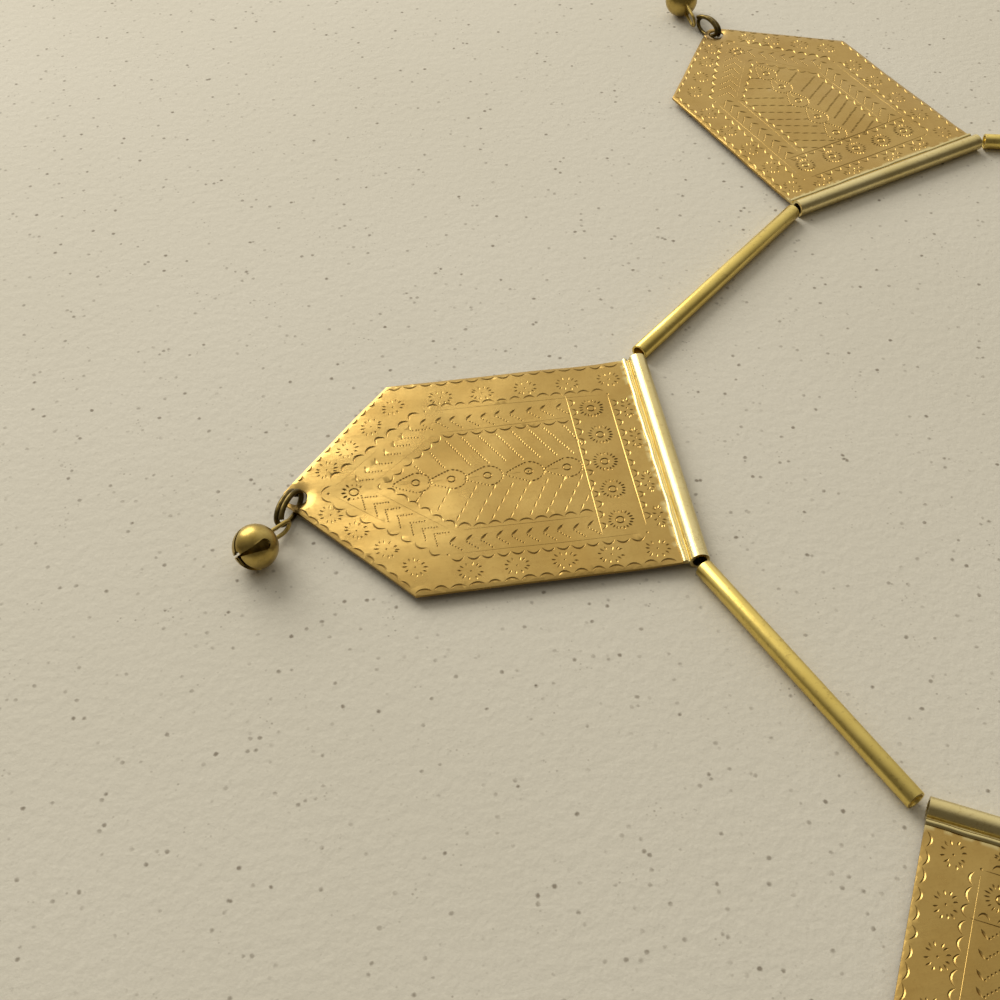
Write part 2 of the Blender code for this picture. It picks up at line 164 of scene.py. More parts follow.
bpy.ops.object.select_all(action="DESELECT")
bpy.ops.mesh.primitive_plane_add(size=FLOOR_SIZE)
floor = bpy.context.object
floor.name = "floor"
plaster = Finish("pale plaster")
shade = plaster.noise(9.0, 4.0).clamped(0.3, 0.7)
even = plaster.mixed(shade, (0.72, 0.675, 0.555), (0.77, 0.725, 0.61))
grain = plaster.noise(1400.0, 3.0, 0.6).clamped(0.3, 0.7)
grainy = plaster.mixed(grain * 0.5, even, (0.65, 0.61, 0.50))
rarity = plaster.noise(190.0, 2.0).clamped(0.42, 0.62)
pitted = (0.24 - plaster.pits(330.0) + plaster.noise(1500.0, 2.0) * 0.14).clamped(0.12, 0.22) * rarity
pricked = (0.20 - plaster.pits(700.0)).clamped(0.0, 0.1) * plaster.noise(120.0, 3.0).clamped(0.5, 0.7)
marked = (pitted * 0.8 + pricked * 0.5).clamped()
plaster.surface(Base_Color=plaster.mixed(marked, grainy, (0.20, 0.16, 0.11)), Roughness=0.9)
plaster.surface(Normal=plaster.bump(plaster.noise(420.0, 5.0, 0.6), 0.0003, 0.6))
floor.data.materials.append(plaster.material)


# The light: one window-like softbox at the upper left, and a room that is bright behind the work
# and dim on its other sides.
SOFTBOX_TURN, SOFTBOX_HEIGHT, SOFTBOX_AWAY = 128.0, 29.0, 1.5
SOFTBOX_SIZE, SOFTBOX_POWER = (1.0, 0.9), 15.0
ROOM_TURN, ROOM_SLANT = 100.0, (0.9, 0.45)
ROOM_DIM, ROOM_BRIGHT = (0.08, (0.13, 0.115, 0.09)), (0.95, (1.0, 0.96, 0.88))


def heading(degrees):
    return Vector((math.cos(math.radians(degrees)), math.sin(math.radians(degrees)), 0.0))


softbox_data = bpy.data.lights.new("softbox", "AREA")
softbox_data.shape = "RECTANGLE"
softbox_data.size, softbox_data.size_y = SOFTBOX_SIZE
softbox_data.energy = SOFTBOX_POWER
softbox_data.color = (1.0, 0.97, 0.91)
softbox = bpy.data.objects.new("softbox", softbox_data)
bpy.context.collection.objects.link(softbox)
toward = heading(SOFTBOX_TURN - VIEW_TURN) * math.cos(math.radians(SOFTBOX_HEIGHT))
toward.z = math.sin(math.radians(SOFTBOX_HEIGHT))
softbox.location = toward * SOFTBOX_AWAY
softbox.rotation_euler = toward.to_track_quat("Z", "Y").to_euler()

world = bpy.data.worlds.new("room")
bpy.context.scene.world = world
world.use_nodes = True
room = world.node_tree
way_in = room.nodes.new("ShaderNodeTexCoord")
slope = room.nodes.new("ShaderNodeVectorMath")
slope.operation = "DOT_PRODUCT"
bright_side = heading(ROOM_TURN - VIEW_TURN) * ROOM_SLANT[0]
slope.inputs[1].default_value = (bright_side.x, bright_side.y, ROOM_SLANT[1])
tones = room.nodes.new("ShaderNodeValToRGB")
for stop, (position, colour) in zip(tones.color_ramp.elements, (ROOM_DIM, ROOM_BRIGHT)):
    stop.position, stop.color = position, (*colour, 1.0)
room.links.new(way_in.outputs["Generated"], slope.inputs[0])
room.links.new(slope.outputs["Value"], tones.inputs["Fac"])
room.links.new(tones.outputs["Color"], room.nodes["Background"].inputs["Color"])
room.nodes["Background"].inputs["Strength"].default_value = 1.0
bpy.context.scene.view_settings.view_transform = "Standard"


# The plates. Each is a pentagon cut from thin sheet brass and chased by hand with small punches
# and a liner, so the same pattern comes out a little differently each time. Its straight edge is
# rolled round a rod into a barrel, and the free edge lies on the face as a lip.
PLATE_WIDTH = 60.0
SHEET = 0.6
PLATE_LIFT = 1.8
SIDE_LENGTH = 57.9
POINT_RISE = 26.0
EYE_RADIUS = 2.2
EYE_RIM = 0.9
LIP_REACH, LIP_WIDTH, LIP_HEIGHT, LIP_STEPS = 3.6, 1.2, 0.55, 8
BARREL_STEPS, BORE_STEPS, EYE_STEPS = 40, 24, 32
HALF = PLATE_WIDTH / 2
TIP_Y = SIDE_LENGTH + POINT_RISE
SLOPE = math.hypot(HALF, POINT_RISE)
EYE_OUTER = EYE_RADIUS + EYE_RIM
EYE_Y = TIP_Y - EYE_OUTER * SLOPE / HALF
DISH_DEPTH, DISH_REACH, DISH_RINGS = 0.45, 2.2, (0.3, 0.6, 1.0, 1.5, 2.1)
EDGE_DROP, EDGE_REACH, EDGE_HEMS = 0.22, 1.1, (0.3, 0.65, 1.05)
DENTS = ((34.0, 0.045), (15.0, 0.02025), (7.0, 0.0072))
LIP_SWAYS, LIP_SWAY = (41.0, 17.0, 8.0), 0.05
STROKE_DEPTH = 0.14
STROKE_WIDTH = 0.50
BOLD_WIDTH, BOLD_DEPTH = 0.62, 0.20
FINE_WIDTH, FINE_DEPTH = 0.12, 0.03
VEIN_WIDTH, VEIN_DEPTH = 0.46, 0.13
RULE_WIDTH, RULE_DEPTH = 0.36, 0.10
LONGEST_STEP = 1.1
WAVE_GRID = 1.6
FACE_STATIONS = 60
SMOOTH_ANGLE = 24.0

# Where the chain lies. It was put down on its back in a curl; the plate in the middle keeps its
# place from the model, and the others follow from the tubes' lengths and the turn at each joint.
TUBE_LENGTHS = (66.0, 62.0, 68.0, 66.0)
JOINT_TURNS = (28.0, 20.0, 38.6, 23.1, 47.7, 22.0, 33.6, 20.0)
JOINT_GAP = 0.9
MIDDLE_HEADING = 90.0


def lie(start, way, turns, lengths, sign):
    """Middles and headings of the pieces that follow one another from the middle plate's barrel."""
    found = []
    place, length = start.copy(), PLATE_WIDTH
    for joint, after in zip(turns, lengths):
        setback = BARREL_RADIUS * math.tan(math.radians(joint) / 2) + JOINT_GAP / 2
        place += heading(way) * sign * (length / 2 + setback)
        way -= sign * joint
        place += heading(way) * sign * (setback + after / 2)
        found.append((place.copy(), way))
        length = after
    return found


far_run = lie(middle, MIDDLE_HEADING, JOINT_TURNS[4:],
              (TUBE_LENGTHS[2], PLATE_WIDTH, TUBE_LENGTHS[3], PLATE_WIDTH), 1)
near_run = lie(middle, MIDDLE_HEADING, JOINT_TURNS[3::-1],
               (TUBE_LENGTHS[1], PLATE_WIDTH, TUBE_LENGTHS[0], PLATE_WIDTH), -1)
chain = near_run[::-1] + [(middle, MIDDLE_HEADING)] + far_run
plate_places, tube_places = chain[0::2], chain[1::2]


def placement(place, way, height=0.0):
    """The matrix that takes a piece from its own frame, in millimetres, to its place in metres."""
    turned = Matrix.Rotation(math.radians(way), 4, "Z")
    return Matrix.Scale(MM, 4) @ Matrix.Translation(place + Vector((0.0, 0.0, height))) @ turned


class Chasing:
    """The strokes of one plate: centre lines with a half width and a depth at each point."""

    def __init__(self, seed):
        self.hand = np.random.default_rng(seed)
        self.strokes = []

    def add(self, points, widths, depths, closed=False):
        self.strokes.append((np.array(points, float), np.array(widths, float),
                             np.array(depths, float), closed))

    def line(self, start, end, width=STROKE_WIDTH, depth=STROKE_DEPTH, steps=3, bulge=0.0):
        """A stroke that is thickest in its middle; bulge is how far it bends to its left."""
        start, end = np.array(start, float), np.array(end, float)
        along = end - start
        length = np.linalg.norm(along)
        side = np.array([-along[1], along[0]]) / length
        share = np.linspace(0.0, 1.0, max(steps, round(length / LONGEST_STEP)) + 1)
        swell = np.sin(math.pi * share) ** 0.4
        points = start + np.outer(share, along) + np.outer(4 * bulge * share * (1 - share), side)
        self.add(points, swell * width / 2, swell * depth)

    def dot(self, place, diameter=0.5, depth=STROKE_DEPTH):
        self.add([np.array(place, float)], [diameter / 2], [depth])

    def ring(self, place, diameter, width=0.36, depth=STROKE_DEPTH, sides=12):
        angles = 2 * math.pi * np.arange(sides) / sides
        points = np.array(place) + diameter / 2 * np.c_[np.cos(angles), np.sin(angles)]
        self.add(points, [width / 2] * sides, [depth] * sides, True)

    def jitter(self, amount=0.08):
        return self.hand.normal(0.0, amount, 2)

    def scallops(self, start, end, count, bulge, fill=0.9, width=STROKE_WIDTH, depth=STROKE_DEPTH):
        """A run of crescents from one gouge stroke each; they bulge to the left of the run."""
        start, end = np.array(start, float), np.array(end, float)
        for k in range(count):
            centre = (k + 0.5) / count
            reach = fill / count / 2 * (1 + self.hand.normal(0, 0.05))
            one = start + (end - start) * (centre - reach) + self.jitter()
            two = start + (end - start) * (centre + reach) + self.jitter()
            self.line(one, two, width, depth, 6, bulge * (1 + self.hand.normal(0, 0.12)))

    def dotted(self, start, end, count, diameter=0.5):
        for share in np.linspace(0.0, 1.0, count):
            self.dot(between(start, end, share) + self.jitter(0.04), diameter)

    def rope(self, start, end, pitch, forward, aside):
        """A vein: a row of dabs; each reaches forward along the vein, and aside of it, from its middle."""
        start, end = np.array(start, float), np.array(end, float)
        along = end - start
        length = np.linalg.norm(along)
        along /= length
        side = np.array([-along[1], along[0]])
        count = round(length / pitch)
        for k in range(count):
            middle_spot = start + along * length * (k + 0.5) / count + self.jitter(0.05)
            slant = along * forward + side * aside
            self.line(middle_spot - slant, middle_spot + slant, VEIN_WIDTH, VEIN_DEPTH)


def between(one, two, share):
    return np.array(one, float) * (1 - share) + np.array(two, float) * share


def bands(work):
    """The border, the two frames of crescents and the arrowheads between them."""
    near_side = (-1, 22.2, 21.8, 14.4, 0.92, STROKE_WIDTH, STROKE_DEPTH)
    far_side = (1, 20.6, 21.5, 13.1, 0.6, BOLD_WIDTH, BOLD_DEPTH)
    for sign, foot, shoulder, inner, fill, width, depth in (near_side, far_side):
        flip = np.array([sign, 1.0])

        # The border's crescents lie along the edge and bulge inwards
        work.scallops(flip * (29.4, 4.6), flip * (29.4, 58.0), 15, 0.85 * sign)
        work.scallops(flip * (28.4, 58.6), flip * (3.6, 80.0), 10, 0.5 * sign, fill, width, depth)

        # The outer frame bulges outwards on a fine scribed line, with a dot at each corner
        work.scallops(flip * (foot, 9.6), flip * (shoulder, 49.9), 13, -0.95 * sign, 0.96)
        work.scallops(flip * (shoulder - 1.2, 51.4), flip * (2.9, 72.4), 8, -1.2 * sign, 0.9, width, depth)
        work.dot(flip * (shoulder - 0.9, 50.3), 0.6)
        work.dot(flip * (foot - 0.9, 9.0), 0.6)
        work.line(flip * (foot - 0.9, 10.2), flip * (shoulder - 0.9, 49.0), FINE_WIDTH, FINE_DEPTH)
        work.line(flip * (10.6, 61.6), flip * (0.7, 72.5), FINE_WIDTH, FINE_DEPTH)

        # The inner frame bulges inwards, inside a ruled line
        work.scallops(flip * (inner, 18.7), flip * (inner, 47.6), 9, 1.0 * sign, 0.97)
        work.scallops(flip * (inner - 0.2, 47.8), flip * (0.9, 61.4), 6, 1.0 * sign, 0.95)
        work.line(flip * (inner + 0.6, 19.0), flip * (inner + 0.5, 48.4), FINE_WIDTH, FINE_DEPTH)
        work.line(flip * (inner + 0.2, 48.8), flip * (1.2, 63.4), FINE_WIDTH, FINE_DEPTH)

    work.line((-1.2, 61.9), (0.9, 61.9), bulge=0.6, steps=5)

    # The lobe where the outer frame meets under the eye
    for start, end in (((-0.9, 74.7), (-2.8, 72.6)), ((1.7, 72.5), (-0.4, 74.7))):
        work.line(end, start, bulge=0.55, steps=5)
    work.dot((-0.4, 73.2), 0.8, BOLD_DEPTH)

    # Arrowheads that run towards the tip: a dotted arm on one side and a dash on the other
    for first, last, dotted_to, dash_to in (((-17.9, 20.8), (-17.9, 49.7), (-2.2, -2.3), (1.6, -1.8)),
                                            ((17.0, 21.5), (17.0, 51.9), (-2.4, -2.6), (1.3, -1.6))):
        for share in np.linspace(0.0, 1.0, 10):
            corner = between(first, last, share) + work.jitter(0.15)
            work.dotted(corner + np.array(dotted_to) * 0.12, corner + dotted_to, 5)
            work.line(corner, corner + dash_to, BOLD_WIDTH, BOLD_DEPTH)
    for share in np.linspace(0.0, 1.0, 7):
        corner = between((-15.1, 52.3), (-2.8, 66.2), share) + work.jitter(0.15)
        work.dotted(corner, corner - (3.3, 0.3), 6)
        work.dotted(corner - (0.0, 0.6), corner - (0.0, 3.0), 5)
        corner = between((15.0, 54.0), (2.3, 66.8), share) + work.jitter(0.15)
        work.dotted(corner, corner - (0.1, 3.4), 6)
        work.line(corner, corner + (2.0, 0.1), 0.44)


def suns(work):
    """The row of suns over the barrel between two ruled lines, and the half sun under the lobe."""
    for height, reach, count in ((18.4, 20.6, 13), (9.0, 19.4, 12)):
        work.line((-reach, height - 0.2), (reach, height + 0.1), RULE_WIDTH, RULE_DEPTH)
        work.scallops((-reach + 1.0, height - 0.4), (reach - 1.0, height - 0.3), count, -1.2, 0.72)
    for k, (x, y) in enumerate(((-17.1, 13.7), (-8.4, 13.5), (-0.3, 13.6), (7.7, 13.0), (15.8, 13.5))):
        work.ring((x, y + 0.1), 1.7)
        rays = 19
        for ray in range(rays):
            angle = 2 * math.pi * (ray + 0.3 * k) / rays
            way = np.array([math.cos(angle), math.sin(angle)])
            bold = 1.0 + 0.25 * math.cos(angle - math.radians(225.0))
            start = np.array((x, y)) + way * (1.8 + work.hand.normal(0, 0.06))
            work.line(start, start + way * (1.05 + work.hand.normal(0, 0.1)), 0.38 * bold, 0.15 * bold)
    work.ring((-0.7, 67.8), 2.0)
    for ray in range(11):
        angle = math.radians(-50.0 + 28.0 * ray)
        way = np.array([math.cos(angle), math.sin(angle)])
        bold = 1.0 if 20.0 < math.degrees(angle) < 160.0 else 0.6
        start = np.array((-0.7, 67.8)) + way * 1.6
        work.line(start, start + way * 1.2 * bold, 0.55 * bold, 0.22 * bold)


def leaves(work):
    """Five leaves up the middle, pointing to the tip, and the slanting veins beside them."""
    half_width, drop, point = 2.8, 3.3, 5.0
    for k, y in enumerate((22.0, 30.3, 39.2, 47.0, 54.6)):
        x = -0.7 + 0.1 * k
        low_side = [(x + half_width * math.cos(a), y + drop * math.sin(a))
                    for a in np.linspace(math.pi * 1.02, math.pi * 1.98, 11)]
        right = [(x + half_width * (1 - s) ** 0.75, y + point * s) for s in np.linspace(0.02, 0.97, 8)]
        left = [(2 * x - px, py) for px, py in right]
        for (ax, ay), (bx, by) in zip(right, right[1:]):
            work.line((ax, ay), (bx, by))
        for (ax, ay), (bx, by) in zip(low_side, low_side[1:]):
            work.line((ax, ay), (bx, by), VEIN_WIDTH, VEIN_DEPTH)
        for spot in left:
            work.dot(spot, 0.5)
        work.ring((x + 0.1, y), 1.7)
        work.line((x, y + 1.4), (x, y + 4.2), FINE_WIDTH, FINE_DEPTH)
    work.dot((-0.6, 30.3), 0.5)
    long_dabs, slanting_dabs = (2.4, 1.12, 0.08), (0.72, -0.30, 0.34)
    for sign, outer_x, pitch, dabs in ((-1, 13.3, 3.75, long_dabs), (1, 11.6, 3.7, slanting_dabs)):
        for k in range(11):
            top = 21.2 + pitch * k
            x = min(outer_x, outer_x - (top - 46.5) * 0.86)
            run = max(x - 2.9, 3.0) if top > 22 else 6.5
            if x > 4.5:
                start = (sign * x, top + work.hand.normal(0, 0.2))
                work.rope(start, (sign * (x - run), top - run * 0.58), *dabs)


def sprigs(work):
    """Loose wreaths of short dashes along the band between the border and the frame."""
    def sprig(place, width, height, angle=0.0):
        """Four tufts of three dashes each, at the corners of a wreath round a small dot."""
        turned = np.array([[math.cos(angle), math.sin(angle)], [-math.sin(angle), math.cos(angle)]])
        for corner in range(4):
            for dash in (-1, 0, 1):
                a = math.radians(45.0 + 90.0 * corner + 27.0 * dash)
                spot = np.array((width * math.cos(a), height * math.sin(a))) / 2 + work.jitter(0.1)
                reach = np.array((math.cos(a), math.sin(a))) * (0.5 + 0.12 * (dash == 0))
                spot, reach = np.array(place) + spot @ turned, reach @ turned
                work.line(spot - reach, spot + reach, 0.44, 0.12, bulge=0.1)
        work.dot(place, 0.5)

    for sign, across in ((-1, 25.7), (1, 24.5)):
        for y in (7.8, 17.4, 27.0, 36.8, 46.2):
            sprig((sign * across, y), 3.6, 4.6)
        for share in (0.08, 0.36, 0.66, 0.92):
            sprig(between((sign * 24.6, 55.7), (sign * 4.8, 74.6), share), 4.6, 3.6, -0.7 * sign)
    for x in (-17.4, -7.4, 5.6, 14.8):
        sprig((x, 5.6), 5.6, 1.7)


def chased(seed):
    """The pattern of one plate, in millimetres from its barrel's axis."""
    work = Chasing(seed)
    for part in (bands, suns, leaves, sprigs):
        part(work)
    return work.strokes


def cut_depth(places, strokes):
    """How deep the strokes cut the face at each of many places, in millimetres."""
    depth = np.zeros(len(places))
    order = np.argsort(places[:, 0])
    sorted_x = places[order, 0]
    for points, widths, depths, closed in strokes:
        reach = widths.max()
        low_x, high_x = points[:, 0].min() - reach, points[:, 0].max() + reach
        near = order[np.searchsorted(sorted_x, low_x):np.searchsorted(sorted_x, high_x)]
        spot = places[near]
        near = near[(spot[:, 1] > points[:, 1].min() - reach) & (spot[:, 1] < points[:, 1].max() + reach)]
        if not len(near):
            continue
        spot = places[near]
        if len(points) == 1:
            away = np.linalg.norm(spot - points[0], axis=1)
            found = depths[0] * np.clip(1 - away / widths[0], 0, 1)
        else:
            found = np.zeros(len(near))
            ends = np.roll(points, -1, axis=0) if closed else points[1:]
            for k, end in enumerate(ends):
                start, after = points[k], (k + 1) % len(points)
                along = end - start
                share = np.clip((spot - start) @ along / (along @ along), 0, 1)
                away = np.linalg.norm(spot - start - share[:, None] * along, axis=1)
                width = widths[k] * (1 - share) + widths[after] * share
                bottom = depths[k] * (1 - share) + depths[after] * share
                found = np.maximum(found, bottom * np.clip(1 - away / np.maximum(width, 1e-6), 0, 1))
        depth[near] = np.maximum(depth[near], found)
    return depth


def stroke_edges(points, widths, closed):
    """The centre line and the two rims of a stroke as runs of points, each with whether it closes."""
    if len(points) == 1:
        angles = 2 * math.pi * np.arange(6) / 6
        rim = points[0] + widths[0] * np.c_[np.cos(angles), np.sin(angles)]
        return [(rim, True), (points, False)]
    if closed:
        tangent = np.roll(points, -1, axis=0) - np.roll(points, 1, axis=0)
    else:
        tangent = np.gradient(points, axis=0)
    tangent /= np.linalg.norm(tangent, axis=1)[:, None]
    side = np.c_[-tangent[:, 1], tangent[:, 0]] * widths[:, None]
    if closed:
        return [(points, True), (points + side, True), (points - side, True)]
    rim = np.vstack([points[:1], (points + side)[1:-1], points[-1:], (points - side)[-2:0:-1]])
    return [(rim, True), (points, False)]


def inside(places, loop):
    """Which places lie inside a closed loop."""
    found = np.zeros(len(places), bool)
    for (ax, ay), (bx, by) in zip(loop, np.roll(loop, -1, axis=0)):
        if ay == by:
            continue
        crosses = (ay > places[:, 1]) != (by > places[:, 1])
        found ^= crosses & (places[:, 0] < ax + (places[:, 1] - ay) * (bx - ax) / (by - ay))
    return found


def plate_outline():
    """The plate's edge from the barrel side round the tip, anticlockwise."""
    first = math.atan2(HALF, POINT_RISE)
    tip = [(EYE_OUTER * math.cos(a), EYE_Y + EYE_OUTER * math.sin(a))
           for a in np.linspace(first, math.pi - first, 11)]
    foot = [(x, LIP_REACH) for x in np.linspace(-HALF, HALF, FACE_STATIONS + 1)]
    side = [(HALF, y) for y in np.linspace(LIP_REACH, SIDE_LENGTH, 28)[1:]]
    rise = [tuple(between((HALF, SIDE_LENGTH), tip[0], share)) for share in np.linspace(0, 1, 19)[1:-1]]
    fall = [(-x, y) for x, y in rise[::-1] + side[:0:-1]]
    return np.array(foot + side + rise + tip + fall + [(-HALF, side[0][1])])


def edge_distance(places):
    """How far places lie inside the plate's two sides, two slopes and round tip."""
    slope_way = np.array([HALF, -POINT_RISE]) / SLOPE
    sides = HALF - np.abs(places[:, 0])
    beyond = np.c_[np.abs(places[:, 0]), places[:, 1]] - [0.0, TIP_Y]
    slopes = -(beyond @ np.array([-slope_way[1], slope_way[0]]))
    tip = np.where(places[:, 1] > EYE_Y, EYE_OUTER - np.hypot(places[:, 0], places[:, 1] - EYE_Y), 99.0)
    return np.minimum(np.minimum(sides, slopes), tip)


def swayed(places, seed):
    """What hand work leaves in thin sheet: slow dents, edges worn down, and a dish round the eye."""
    hand = np.random.default_rng(seed + 50)
    height = np.zeros(len(places))
    for size, amount in DENTS:
        for _ in range(5):
            angle, phase = hand.uniform(0, 2 * math.pi, 2)
            way = np.array([math.cos(angle), math.sin(angle)]) * 2 * math.pi / size
            height += amount * np.sin(places @ way + phase)
    worn = np.clip(1 - edge_distance(places) / EDGE_REACH, 0, 1) ** 2 * EDGE_DROP
    away = np.hypot(places[:, 0], places[:, 1] - EYE_Y) - EYE_RADIUS
    dish = np.clip(1 - away / DISH_REACH, 0, 1) ** 2 * DISH_DEPTH
    return (height - worn) * np.clip((places[:, 1] - LIP_REACH) / 6.0, 0, 1) - dish


def rolled_profile():
    """The rolled edge in Y and Z, from the face over the lip and round the barrel to the back."""
    lip_y = LIP_REACH - LIP_WIDTH / 2
    lip = [(lip_y + LIP_WIDTH / 2 * math.cos(a), PLATE_TOP + LIP_HEIGHT * math.sin(a))
           for a in np.linspace(0, math.pi, LIP_STEPS + 1)]
    first = math.asin((PLATE_TOP - BARREL_RADIUS) / BARREL_RADIUS)
    last = 2 * math.pi + math.asin((PLATE_LIFT - BARREL_RADIUS) / BARREL_RADIUS)
    barrel = [(BARREL_RADIUS * math.cos(a), BARREL_RADIUS + BARREL_RADIUS * math.sin(a))
              for a in np.linspace(first, last, BARREL_STEPS + 1)]
    return lip + barrel + [(LIP_REACH, PLATE_LIFT)]


def filled(runs, loose):
    """Triangles between runs of points, each with whether it closes, and loose points."""
    points, edges = [], []
    for run, closes in runs:
        start = len(points)
        points += [Vector(p) for p in run]
        edges += [(k, k + 1) for k in range(start, len(points) - 1)]
        if closes:
            edges.append((len(points) - 1, start))
    points += [Vector(p) for p in loose]
    placed, _, faces, _, _, _ = delaunay_2d_cdt(points, edges, [], 0, 1e-5)
    flat = np.array([tuple(p) for p in placed])
    triangles = np.array([face for face in faces if len(face) == 3])
    middles = flat[triangles].mean(axis=1)
    kept = inside(middles, runs[0][0]) & ~inside(middles, runs[1][0])
    return flat, triangles[kept]


def engraved_plate(seed):
    """A plate's mesh in its own frame, in millimetres."""
    strokes = chased(seed)
    outline = plate_outline()
    angles = 2 * math.pi * np.arange(EYE_STEPS) / EYE_STEPS
    around = np.c_[np.cos(angles), np.sin(angles)]
    eye = np.array([0.0, EYE_Y]) + EYE_RADIUS * around
    grid = np.stack(np.meshgrid(np.arange(-HALF + 0.7, HALF - 0.5, WAVE_GRID),
                                np.arange(LIP_REACH + 0.9, TIP_Y, WAVE_GRID)), -1).reshape(-1, 2)
    grid = grid[edge_distance(grid) > EDGE_REACH + 0.3]
    centre = np.array([0.0, 45.0])
    rings = [np.array([0.0, EYE_Y]) + (EYE_RADIUS + reach) * around for reach in DISH_RINGS]
    hems = []
    for inset in EDGE_HEMS:
        hem = outline[FACE_STATIONS + 2:-1]
        inward = (centre - hem) / np.linalg.norm(centre - hem, axis=1)[:, None]
        for _ in range(4):
            hem = hem + inward * (inset - edge_distance(hem))[:, None]
        hems.append(hem)
    grid = grid[np.hypot(grid[:, 0], grid[:, 1] - EYE_Y) > EYE_RADIUS + 2.4]
    shaping = np.vstack(rings + hems)
    clear = np.hypot(shaping[:, 0], shaping[:, 1] - EYE_Y) > EYE_RADIUS + 0.15
    shaping = shaping[clear & (edge_distance(shaping) > 0.15)]

    edges = [run for stroke, widths, _, closed in strokes for run in stroke_edges(stroke, widths, closed)]
    flat, triangles = filled([(outline, True), (eye, True)] + edges, np.vstack([grid, shaping]))
    depth = cut_depth(flat, strokes)
    heights = PLATE_TOP + swayed(flat, seed) - depth

    bm = bmesh.new()
    cut = bm.verts.layers.float.new("cut")
    rolled = bm.verts.layers.float.new("rolled")
    face = {}
    for k in np.unique(triangles):
        vertex = bm.verts.new((*flat[k], heights[k]))
        vertex[cut] = depth[k] / STROKE_DEPTH
        face[k] = vertex
    for triangle in triangles:
        bm.faces.new([face[k] for k in triangle])

    # A stroke's rim stays crisp however shallow the stroke is there
    for edge in bm.edges:
        struck = {any(vertex[cut] > 0 for vertex in side.verts) for side in edge.link_faces}
        edge.smooth = len(struck) == 1

    # The edge's wall and the plain back, which follows the same hollows
    foot_height = LIP_REACH + 1e-4
    rim = [edge for edge in bm.edges if edge.is_boundary and max(v.co.y for v in edge.verts) > foot_height]
    wall = bmesh.ops.extrude_edge_only(bm, edges=rim)["geom"]
    for vertex in (item for item in wall if isinstance(item, bmesh.types.BMVert)):
        vertex.co.z -= SHEET
        vertex[cut] = 0.0
    flat, triangles = filled([(outline, True), (eye, True)], np.vstack([grid[::3], shaping]))
    heights = PLATE_LIFT + swayed(flat, seed)
    back = {k: bm.verts.new((*flat[k], heights[k])) for k in np.unique(triangles)}
    for triangle in triangles:
        bm.faces.new([back[k] for k in triangle[::-1]])

    # The rolled edge, carried across the plate, with its two ends closed
    profile = rolled_profile()
    bore = [((BARREL_RADIUS - SHEET) * math.cos(a), BARREL_RADIUS + (BARREL_RADIUS - SHEET) * math.sin(a))
            for a in 2 * math.pi * np.arange(BORE_STEPS) / BORE_STEPS]
    hand = np.random.default_rng(seed + 90)
    stations = np.linspace(-HALF, HALF, FACE_STATIONS + 1)
    sway = sum(LIP_SWAY * np.sin(stations * 2 * math.pi / size + hand.uniform(0, 6)) for size in LIP_SWAYS)
    sway *= np.clip((HALF - np.abs(stations)) / 3.0, 0, 1)
    rows = []
    for x, push in zip(stations, sway):
        row = []
        for index, (y, z) in enumerate(profile + bore):
            vertex = bm.verts.new((x, y + (push if 0 < index <= LIP_STEPS else 0.0), z))
            vertex[rolled] = 1.0
            row.append(vertex)
        rows.append(row)
    turn_count = len(profile)
    for left, right in zip(rows, rows[1:]):
        for k in range(turn_count - 1):
            bm.faces.new((left[k], left[k + 1], right[k + 1], right[k]))
        for k in range(len(bore)):
            here, after = turn_count + k, turn_count + (k + 1) % len(bore)
            bm.faces.new((left[after], left[here], right[here], right[after]))
    cap_points = [Vector(p) for p in profile + bore]
    cap_edges = [(k, (k + 1) % turn_count) for k in range(turn_count)]
    cap_edges += [(turn_count + k, turn_count + (k + 1) % len(bore)) for k in range(len(bore))]
    placed, _, faces, origins, _, _ = delaunay_2d_cdt(cap_points, cap_edges, [], 0, 1e-7)
    source = [origin[0] for origin in origins]
    flat = np.array([tuple(p) for p in placed])
    for cap in faces:
        spot = flat[list(cap)].mean(axis=0)[None]
        if inside(spot, np.array(profile))[0] and not inside(spot, np.array(bore))[0]:
            bm.faces.new([rows[-1][source[k]] for k in cap])
            bm.faces.new([rows[0][source[k]] for k in reversed(cap)])

    bmesh.ops.remove_doubles(bm, verts=bm.verts, dist=2e-4)
    bmesh.ops.recalc_face_normals(bm, faces=bm.faces)
    mesh = bpy.data.meshes.new("engraved plate")
    bm.to_mesh(mesh)
    bm.free()
    return mesh


def settled(name, mesh, matrix, angle, materials, node):
    """Puts a finished mesh in its place in the chain, smooths it and ties it to the model."""
    mesh.transform(matrix)
    piece = bpy.data.objects.new(name, mesh)
    bpy.context.collection.objects.link(piece)
    bpy.ops.object.select_all(action="DESELECT")
    piece.select_set(True)
    bpy.context.view_layer.objects.active = piece
    bpy.ops.object.shade_smooth_by_angle(angle=math.radians(angle))
    mesh.materials.clear()
    for material in materials:
        mesh.materials.append(material)
    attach(piece, "root")
    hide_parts(node)


